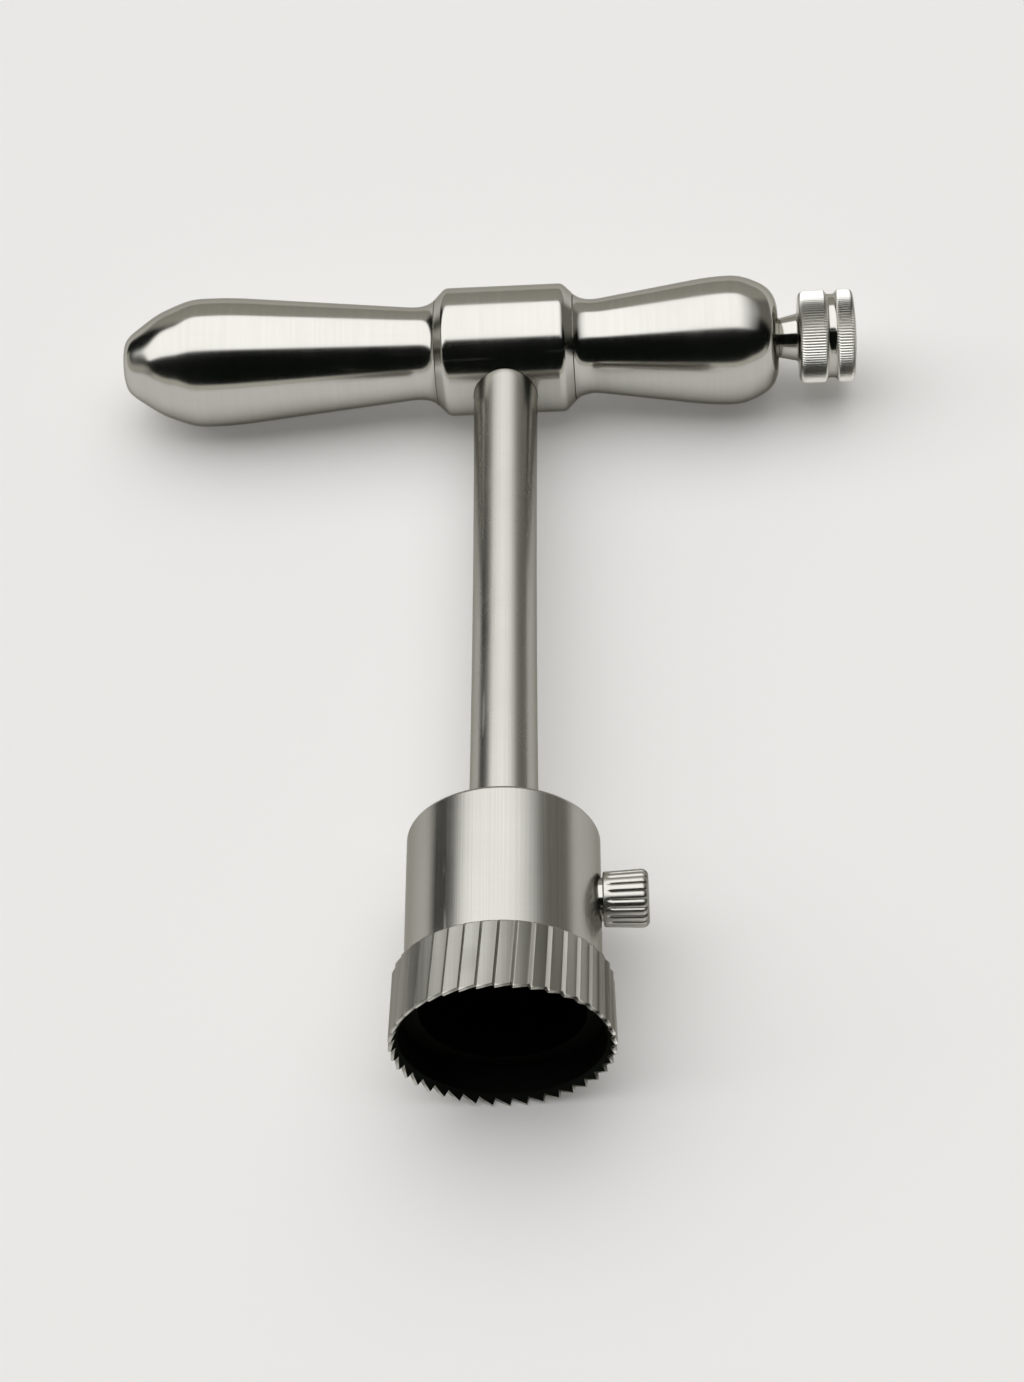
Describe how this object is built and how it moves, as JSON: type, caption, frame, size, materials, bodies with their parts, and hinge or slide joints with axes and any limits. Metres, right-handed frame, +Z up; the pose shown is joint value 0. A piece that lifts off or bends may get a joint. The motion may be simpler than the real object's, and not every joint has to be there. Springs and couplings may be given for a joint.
{
  "type": "hand trephine",
  "caption": "Hand skull trephine: T-shaped steel handle with lock knob, round shaft, and a fluted toothed crown with a centre pin held by a side screw.",
  "frame": {"origin": "middle of the instrument's box at the level of the surface it lies on", "axes": "+X along the handle to the lock knob, +Y from the saw crown to the handle, +Z up; the instrument lies on its side on one tooth of the crown and on both grips"},
  "size_m": [0.0954, 0.1146, 0.0255],
  "materials": {
    "polished_steel": "mirror polished steel with fine turning marks",
    "satin_steel": "satin steel, fine lines along the axis",
    "saw_steel": "ground steel, dull, with bright ground edges",
    "knurled_steel": "polished steel with straight ridges"
  },
  "bodies": {
    "handle": {"hub": "polished_steel", "left_grip": "polished_steel", "right_grip": "polished_steel"},
    "lock_spindle": {"lock_spindle": "satin_steel"},
    "lock_knob": {"lock_knob": "knurled_steel"},
    "cutter": {"shaft": "satin_steel", "crown_head": "satin_steel", "saw_crown": "saw_steel"},
    "centre_pin": {"centre_pin": "satin_steel"},
    "pin_screw": {"pin_screw": "knurled_steel"},
    "pin_screw_knob": {"pin_screw_knob": "knurled_steel"}
  },
  "joints": [
    {"name": "lock_travel", "type": "slide", "parent": "handle", "child": "lock_spindle", "axis": [1, 0, 0], "range_m": [0, 0.004]},
    {"name": "lock_turn", "type": "hinge", "parent": "lock_spindle", "child": "lock_knob", "pos_m": [0.00222, 0.04892, 0.00835], "axis": [1, 0, 0], "range_deg": [0, 1800]},
    {"name": "cutter_release", "type": "slide", "parent": "handle", "child": "cutter", "axis": [0, -0.9992, 0.041], "range_m": [0, 0.013]},
    {"name": "pin_slide", "type": "slide", "parent": "cutter", "child": "centre_pin", "axis": [0, -0.9992, 0.041], "range_m": [0, 0.0105]},
    {"name": "pin_screw_travel", "type": "slide", "parent": "cutter", "child": "pin_screw", "axis": [1, 0, 0], "range_m": [0, 0.0014]},
    {"name": "pin_screw_turn", "type": "hinge", "parent": "pin_screw", "child": "pin_screw_knob", "pos_m": [0.00222, -0.03761, 0.0119], "axis": [1, 0, 0], "range_deg": [0, 720]}
  ],
  "couplings": [
    {"joint": "lock_turn", "follows": "lock_travel", "rad_per_m": 7854},
    {"joint": "pin_screw_turn", "follows": "pin_screw_travel", "rad_per_m": 8976}
  ]
}
